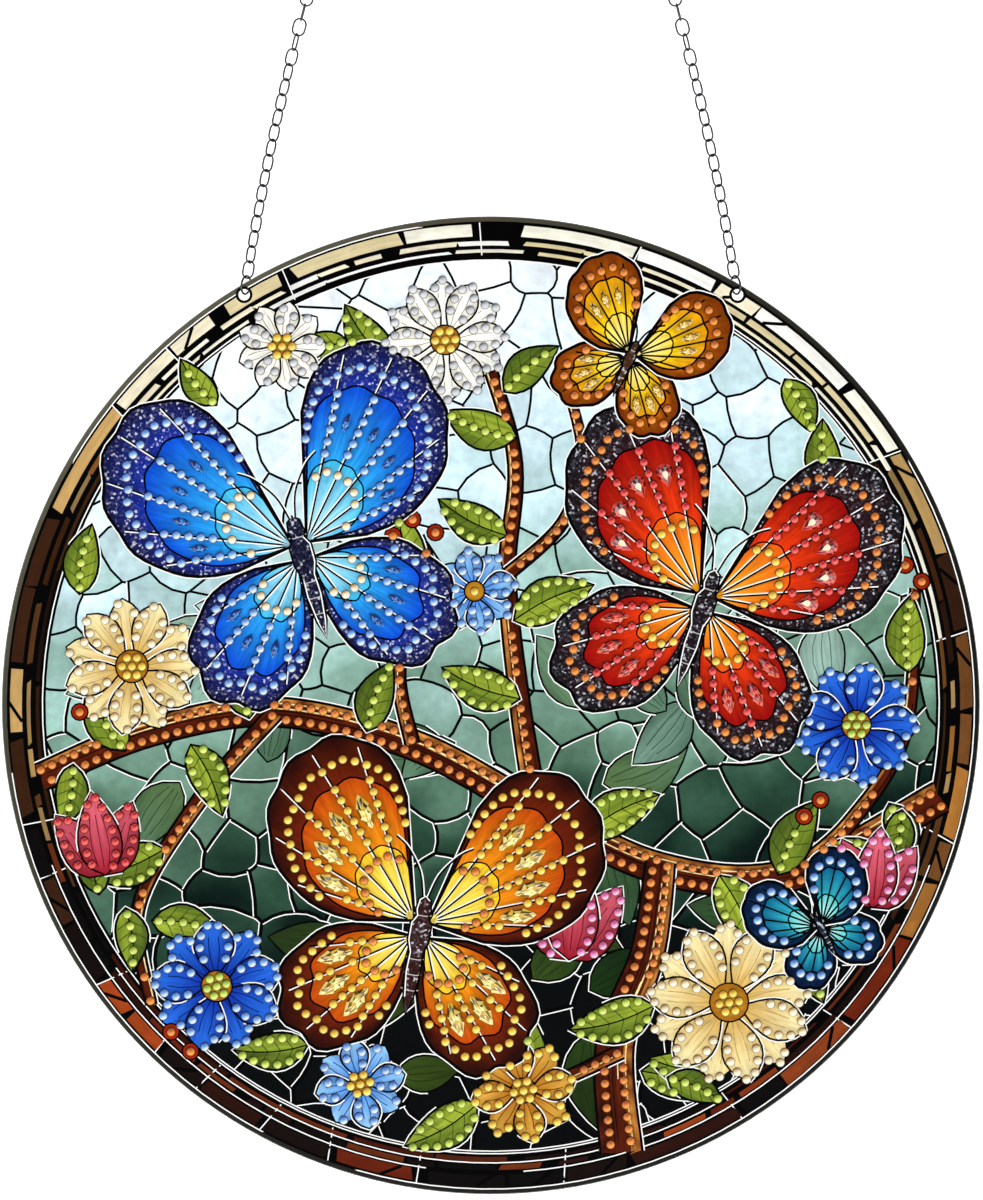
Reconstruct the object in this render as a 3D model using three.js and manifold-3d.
// Round hanging picture panel with stones stuck on its front and a two-strand chain.
// Millimetres, +Z up. The panel stands in the XZ plane and its front faces -Y. The origin is
// inside the top bend of the middle link, where the hook that holds it up bears.

import * as THREE from 'three';
import { mergeVertices } from 'three/addons/utils/BufferGeometryUtils.js';
import Module from 'manifold-3d';

const wasm = await Module();
wasm.setup();

// Panel
const panelDiameter = 300;
const panelThickness = 3;
const borderWidth = 13; // the printed band round the picture
const panelSides = 90;

// Holes for the jump rings
const holeDiameter = 3.4;
const holeWeb = 1.5; // acrylic left between a hole and the rim
const holeAngle = 31; // degrees from the top of the panel
const holeSides = 12;

// Jump rings
const ringDiameter = 6.4; // over the wire
const ringWire = 0.7;
const ringTurn = 26; // degrees that a ring is turned from edge-on
const ringClearance = 0.3; // between a ring and the panel
const ringSides = 12;

// Chain
const linkWire = 0.6;
const linkLength = 5.95; // over the wire
const linkWidth = 4.4;
const linkPairs = 32; // in each strand
const linkBite = 0.05; // how deep the wires of two linked links press into each other
const linkPlay = 0.1; // between the wires of links that are separate pieces
const strandGap = 0.1; // between the two last links, side by side in the middle link
const ringLean = 9; // degrees from the vertical, at a jump ring
const easeLength = 85; // the length over which a strand leans over to its upper angle
const slantTwist = 45; // degrees that the lower links are turned from face-on
const twistStart = 12; // the length over which the turn grows from the ring's
const twistHold = 60; // and up to which it stays
const twistEase = 20; // and then the length over which it goes back to none

// Round stones
const roundDiameter = 2.9;
const roundHeight = 1.1;
const roundGap = 0.85; // between neighbours in a row
const roundSides = 5;
const stoneSink = 0.2; // how deep a fused stone reaches into the panel

// Cut stones: length, width and height
const largeOval = { length: 11.5, width: 4.9, height: 2.0 };
const middleOval = { length: 9.2, width: 4.0, height: 1.8 };
const smallOval = { length: 6.3, width: 2.6, height: 1.5 };
const drop = { length: 7.8, width: 5.5, height: 2.0 };
const tableShare = 0.55; // the flat top of a cut stone, as a share of its outline

// Butterflies. Places and reach are shares of the picture's radius, and turns are in degrees.
// Those with a row have round stones along the edges of their fore wings.
const pictureRadius = panelDiameter / 2 - borderWidth;
const rowShare = 0.9; // where the row of stones runs in a wing, from its root to its edge
const rowStart = 0.5; // the row keeps this share of the reach away from the root
const stoneShare = 0.61; // where the middle of a cut stone lies in its wing cell
const foreWing = { from: 76, to: -6, reach: 1, skew: 0.62, full: 0.42, root: 0.06, cells: 6,
  scallop: 0.012 };
const hindWing = { from: 2, to: -86, reach: 0.74, skew: 1.15, full: 0.42, root: -0.02, cells: 5,
  scallop: 0.03 };
const rootSide = 0.035; // from the middle of the body to the root of a wing
const butterflies = [
  { across: -0.42, up: 0.335, turn: 16, reach: 0.46, colour: 0x2a86e0, row: true,
    fore: ['blue_oval', smallOval, [1, 2, 3, 4]], hind: ['blue_oval', smallOval, [1, 2, 3]] },
  { across: 0.475, up: 0.22, turn: -18, reach: 0.45, colour: 0xc21f22, row: true,
    fore: ['red_drop', drop, [1, 2, 3, 4]], hind: ['red_oval', middleOval, [1, 2, 3]] },
  { across: -0.16, up: -0.51, turn: -10, reach: 0.44, colour: 0xf0c030, row: true,
    fore: ['yellow_oval', largeOval, [1, 2, 3, 4]], hind: ['yellow_oval', largeOval, [1, 2, 3]] },
  { across: 0.31, up: 0.775, turn: -24, reach: 0.215, colour: 0xf5cf45, row: false,
    fore: ['gold_oval', smallOval, [1, 2, 3]], hind: ['gold_oval', smallOval, [1, 2, 3]] },
];

const rad = THREE.MathUtils.degToRad;
const group = new THREE.Group();

function addMesh(name, geometry, colour, metalness, roughness) {
  const material = new THREE.MeshStandardMaterial({ color: colour, metalness, roughness });
  const mesh = new THREE.Mesh(geometry, material);
  mesh.name = name;
  group.add(mesh);
  return mesh;
}

// Solids

function solidFrom(geometry) {
  const bare = geometry.index ? geometry : geometry.clone();
  bare.deleteAttribute('normal');
  bare.deleteAttribute('uv');
  const merged = mergeVertices(bare, 1e-4);
  return new wasm.Manifold(new wasm.Mesh({
    numProp: 3,
    vertProperties: Float32Array.from(merged.attributes.position.array),
    triVerts: Uint32Array.from(merged.index.array),
  }));
}

function geometryFrom(solid) {
  const { vertProperties, triVerts } = solid.getMesh();
  const geometry = new THREE.BufferGeometry();
  geometry.setAttribute('position', new THREE.BufferAttribute(vertProperties, 3));
  geometry.setIndex(new THREE.BufferAttribute(triVerts, 1));
  return geometry;
}

// A closed loop of wire through the corners, which lie in the XZ plane. One edge of the
// wire's section points to the inside of the loop, so that linked loops meet edge on edge.
function wireLoop(corners, wireRadius, sides) {
  const count = corners.length;
  const positions = [];
  const indices = [];
  corners.forEach((corner, i) => {
    const before = corners[(i + count - 1) % count];
    const after = corners[(i + 1) % count];
    const arriving = corner.clone().sub(before).normalize();
    const leaving = after.clone().sub(corner).normalize();
    const along = arriving.clone().add(leaving).normalize();
    const mitre = 1 / along.dot(leaving);
    for (let j = 0; j < sides; j += 1) {
      const angle = (2 * Math.PI * j) / sides;
      const inward = wireRadius * Math.cos(angle) * mitre;
      positions.push(
        corner.x - along.y * inward, wireRadius * Math.sin(angle), corner.y + along.x * inward,
      );
    }
    for (let j = 0; j < sides; j += 1) {
      const [a, b] = [i * sides + j, i * sides + ((j + 1) % sides)];
      const [c, d] = [((i + 1) % count) * sides + j, ((i + 1) % count) * sides + ((j + 1) % sides)];
      indices.push(a, c, b, b, c, d);
    }
  });
  const geometry = new THREE.BufferGeometry();
  geometry.setAttribute('position', new THREE.Float32BufferAttribute(positions, 3));
  geometry.setIndex(indices);
  return geometry;
}

function circle(radius, sides) {
  return Array.from({ length: sides }, (_, i) => {
    const angle = (2 * Math.PI * i) / sides;
    return new THREE.Vector2(radius * Math.cos(angle), radius * Math.sin(angle));
  });
}

// The middle line of one oval link, counterclockwise, with a short flat at each end
function linkOutline() {
  const top = (linkLength - linkWire) / 2;
  const side = (linkWidth - linkWire) / 2;
  const flat = side / 2;
  return [[side, 0], [flat, top], [-flat, top], [-side, 0], [-flat, -top], [flat, -top]]
    .map(([x, z]) => new THREE.Vector2(x, z));
}

// Strands. Everything here is worked out from a hole of the panel, with the panel's middle at
// the origin, and for the right strand. The left one is its mirror image.

const panelRadius = panelDiameter / 2;
const holeRadius = holeDiameter / 2;
const holeCircle = panelRadius - holeWeb - holeRadius;
const pitch = linkLength - 2 * linkWire;
const linkCount = 2 * linkPairs;

// The direction of a strand at this lean from the vertical, going up and inwards
function direction(lean) {
  return new THREE.Vector3(-Math.sin(rad(lean)), 0, Math.cos(rad(lean)));
}

function holeCentre() {
  const angle = rad(holeAngle);
  return new THREE.Vector3(holeCircle * Math.sin(angle), 0, holeCircle * Math.cos(angle));
}

// The ring rises until the wall of the hole clears the inside of its wire
function ringCentre() {
  const inside = ringDiameter / 2 - ringWire - ringClearance;
  const half = panelThickness / 2 / Math.cos(rad(ringTurn));
  const rise = holeRadius + Math.sqrt(inside * inside - half * half);
  return holeCentre().addScaledVector(direction(ringLean), rise);
}

function firstContact() {
  return ringCentre().addScaledVector(direction(ringLean), ringDiameter / 2 - ringWire - linkPlay);
}

function leanAt(distance, upperLean) {
  return ringLean + (upperLean - ringLean) * Math.min(1, distance / easeLength);
}

// The points where each link bears on the next, from the ring to the middle link
function contacts(upperLean) {
  const points = [firstContact()];
  for (let i = 0; i < linkCount; i += 1) {
    const step = direction(leanAt((i + 0.5) * pitch, upperLean));
    points.push(points[i].clone().addScaledVector(step, pitch));
  }
  return points;
}

// The upper lean that brings the last link beside the other strand's, by halving the range.
// The last link leans inwards by another wire's thickness above its contact.
function upperLean() {
  const lastAcross = (linkWire + strandGap) / 2;
  let [low, high] = [0, 80];
  for (let i = 0; i < 40; i += 1) {
    const middle = (low + high) / 2;
    const top = contacts(middle)[linkCount].addScaledVector(direction(middle), linkWire);
    if (top.x > lastAcross) low = middle;
    else high = middle;
  }
  return (low + high) / 2;
}

function twistAt(distance) {
  if (distance < twistStart) {
    return ringTurn + ((slantTwist - ringTurn) * distance) / twistStart;
  }
  const back = Math.max(0, distance - twistHold) / twistEase;
  return slantTwist * Math.max(0, 1 - back);
}

// Turns a loop that was made in the XZ plane so that its Z runs along the strand, and its
// width is turned about the strand from face-on
function turned(along, twist) {
  const flat = new THREE.Vector3(along.z, 0, -along.x);
  const width = flat.multiplyScalar(Math.cos(rad(twist)));
  width.y = Math.sin(rad(twist));
  const normal = new THREE.Vector3().crossVectors(along, width);
  return new THREE.Matrix4().makeBasis(width, normal, along);
}

function strandGeometry(points) {
  const outline = linkOutline();
  let chain = null;
  for (let i = 0; i < linkCount; i += 1) {
    const along = points[i + 1].clone().sub(points[i]).normalize();
    const middle = points[i].clone().lerp(points[i + 1], 0.5);
    const twist = twistAt((i + 0.5) * pitch) + 90 * (i % 2);
    const link = wireLoop(outline, linkWire / 2 + linkBite, 3);
    link.applyMatrix4(turned(along, twist).setPosition(middle));
    const solid = solidFrom(link);
    chain = chain ? chain.add(solid) : solid;
  }
  return geometryFrom(chain);
}

function mirrored(geometry) {
  const copy = geometry.clone().applyMatrix4(new THREE.Matrix4().makeScale(-1, 1, 1));
  const index = copy.index.array;
  for (let i = 0; i < index.length; i += 3) {
    [index[i], index[i + 1]] = [index[i + 1], index[i]];
  }
  return copy;
}

// How far the middle of the panel hangs below the origin
const strandPoints = contacts(upperLean());
const panelDrop = strandPoints[linkCount].z + pitch - linkPlay;

const steel = [0xb9bdc2, 1, 0.25];
const rightStrand = strandGeometry(strandPoints);
addMesh('chain_right', rightStrand, ...steel).position.z = -panelDrop;
addMesh('chain_left', mirrored(rightStrand), ...steel).position.z = -panelDrop;

const rightRing = wireLoop(circle((ringDiameter - ringWire) / 2, ringSides), ringWire / 2, 4);
rightRing.applyMatrix4(
  turned(direction(ringLean), 90 + ringTurn).setPosition(ringCentre()),
);
addMesh('jump_ring_right', rightRing, ...steel).position.z = -panelDrop;
addMesh('jump_ring_left', mirrored(rightRing), ...steel).position.z = -panelDrop;

const hangingLink = wireLoop(linkOutline(), linkWire / 2, 4);
addMesh('hanging_link', hangingLink, ...steel).position.z = -pitch / 2;

// Butterflies: where the stones of a wing lie, in the panel's own plane

function wingPoint(wing, reach, share, t) {
  const angle = rad(wing.from + (wing.to - wing.from) * t);
  const edge = 1 + wing.scallop * Math.cos(2 * Math.PI * (wing.cells * t - 0.5));
  const radius = share * wing.reach * reach * Math.sin(Math.PI * t ** wing.skew) ** wing.full * edge;
  return new THREE.Vector2(
    rootSide * reach + radius * Math.cos(angle), wing.root * reach + radius * Math.sin(angle),
  );
}

function onPanel(butterfly, point, side) {
  const place = new THREE.Vector2(butterfly.across, butterfly.up).multiplyScalar(pictureRadius);
  const middle = new THREE.Vector2();
  return new THREE.Vector2(side * point.x, point.y).rotateAround(middle, rad(butterfly.turn))
    .add(place);
}

// Equally spaced points along the row inside the edge of a fore wing
function rowPoints(reach) {
  const samples = 1200;
  const root = wingPoint(foreWing, reach, 0, 0.5);
  const points = [];
  let travelled = 0;
  let last = null;
  for (let i = 1; i < samples; i += 1) {
    const point = wingPoint(foreWing, reach, rowShare, i / samples);
    if (point.distanceTo(root) < rowStart * reach) continue;
    travelled += last ? point.distanceTo(last) : roundDiameter + roundGap;
    last = point;
    if (travelled >= roundDiameter + roundGap) {
      points.push(point);
      travelled = 0;
    }
  }
  return points;
}

// Panel with the fused round stones

function panelGeometry() {
  const shape = new THREE.Shape(circle(panelRadius, panelSides));
  const hole = holeCentre();
  [-1, 1].forEach((side) => {
    const points = circle(holeRadius, holeSides)
      .map((p) => p.add(new THREE.Vector2(side * hole.x, hole.z)));
    shape.holes.push(new THREE.Path(points));
  });
  const plate = new THREE.ExtrudeGeometry(shape, { depth: panelThickness, bevelEnabled: false });
  plate.rotateX(Math.PI / 2).translate(0, panelThickness / 2, 0);
  return plate;
}

function roundStone(point) {
  const height = roundHeight + stoneSink;
  const footRadius = ((roundDiameter / 2) * height) / roundHeight;
  const stone = new THREE.ConeGeometry(footRadius, height, roundSides);
  stone.rotateX(Math.PI);
  return stone.translate(point.x, stoneSink - height / 2 - panelThickness / 2, point.y);
}

let panel = solidFrom(panelGeometry());
butterflies.filter((butterfly) => butterfly.row).forEach((butterfly) => {
  const reach = butterfly.reach * pictureRadius;
  rowPoints(reach).forEach((point) => {
    [-1, 1].forEach((side) => {
      panel = panel.add(solidFrom(roundStone(onPanel(butterfly, point, side))));
    });
  });
});
addMesh('panel', geometryFrom(panel), 0x3f6f6a, 0, 0.15).position.z = -panelDrop;

// Cut stones, flat behind, with a ring of slanted facets round a flat top

function cutStone(outline, height) {
  const count = outline.length;
  const positions = [];
  outline.forEach((p) => positions.push(p.x, 0, p.y));
  outline.forEach((p) => positions.push(p.x * tableShare, -height, p.y * tableShare));
  const indices = [];
  for (let i = 0; i < count; i += 1) {
    const next = (i + 1) % count;
    indices.push(count + next, count + i, i, count + next, i, next);
    if (i > 0 && next > 0) indices.push(0, next, i, count, count + i, count + next);
  }
  const geometry = new THREE.BufferGeometry();
  geometry.setAttribute('position', new THREE.Float32BufferAttribute(positions, 3));
  geometry.setIndex(indices);
  return geometry;
}

// Pointed at both ends, counterclockwise
function ovalOutline({ length, width }) {
  const half = [-1, -0.5, 0, 0.5].map((t) => [t, t * t - 1]);
  const back = half.map(([t, w]) => [-t, -w]);
  return [...half, ...back].map(([t, w]) => new THREE.Vector2((t * length) / 2, (w * width) / 2));
}

// Round at the outer end and pointed at the other
function dropOutline({ length, width }) {
  const radius = width / 2;
  const round = length / 2 - radius;
  const points = [-100, -60, -20, 20, 60, 100].map((angle) => new THREE.Vector2(
    round + radius * Math.cos(rad(angle)), radius * Math.sin(rad(angle)),
  ));
  return [new THREE.Vector2(-length / 2, 0), ...points];
}

const counts = {};
butterflies.forEach((butterfly) => {
  [[foreWing, butterfly.fore], [hindWing, butterfly.hind]].forEach(([wing, [kind, size, cells]]) => {
    const outline = size === drop ? dropOutline(size) : ovalOutline(size);
    const reach = butterfly.reach * pictureRadius;
    cells.forEach((cell) => [-1, 1].forEach((side) => {
      const t = (cell + 0.5) / wing.cells;
      const place = onPanel(butterfly, wingPoint(wing, reach, stoneShare, t), side);
      const root = onPanel(butterfly, wingPoint(wing, reach, 0, t), side);
      counts[kind] = (counts[kind] ?? 0) + 1;
      const name = `${kind}_${String(counts[kind]).padStart(2, '0')}`;
      const stone = addMesh(name, cutStone(outline, size.height), butterfly.colour, 0, 0.1);
      stone.position.set(place.x, -panelThickness / 2, place.y - panelDrop);
      stone.rotation.y = -place.sub(root).angle();
    }));
  });
});

export default group;
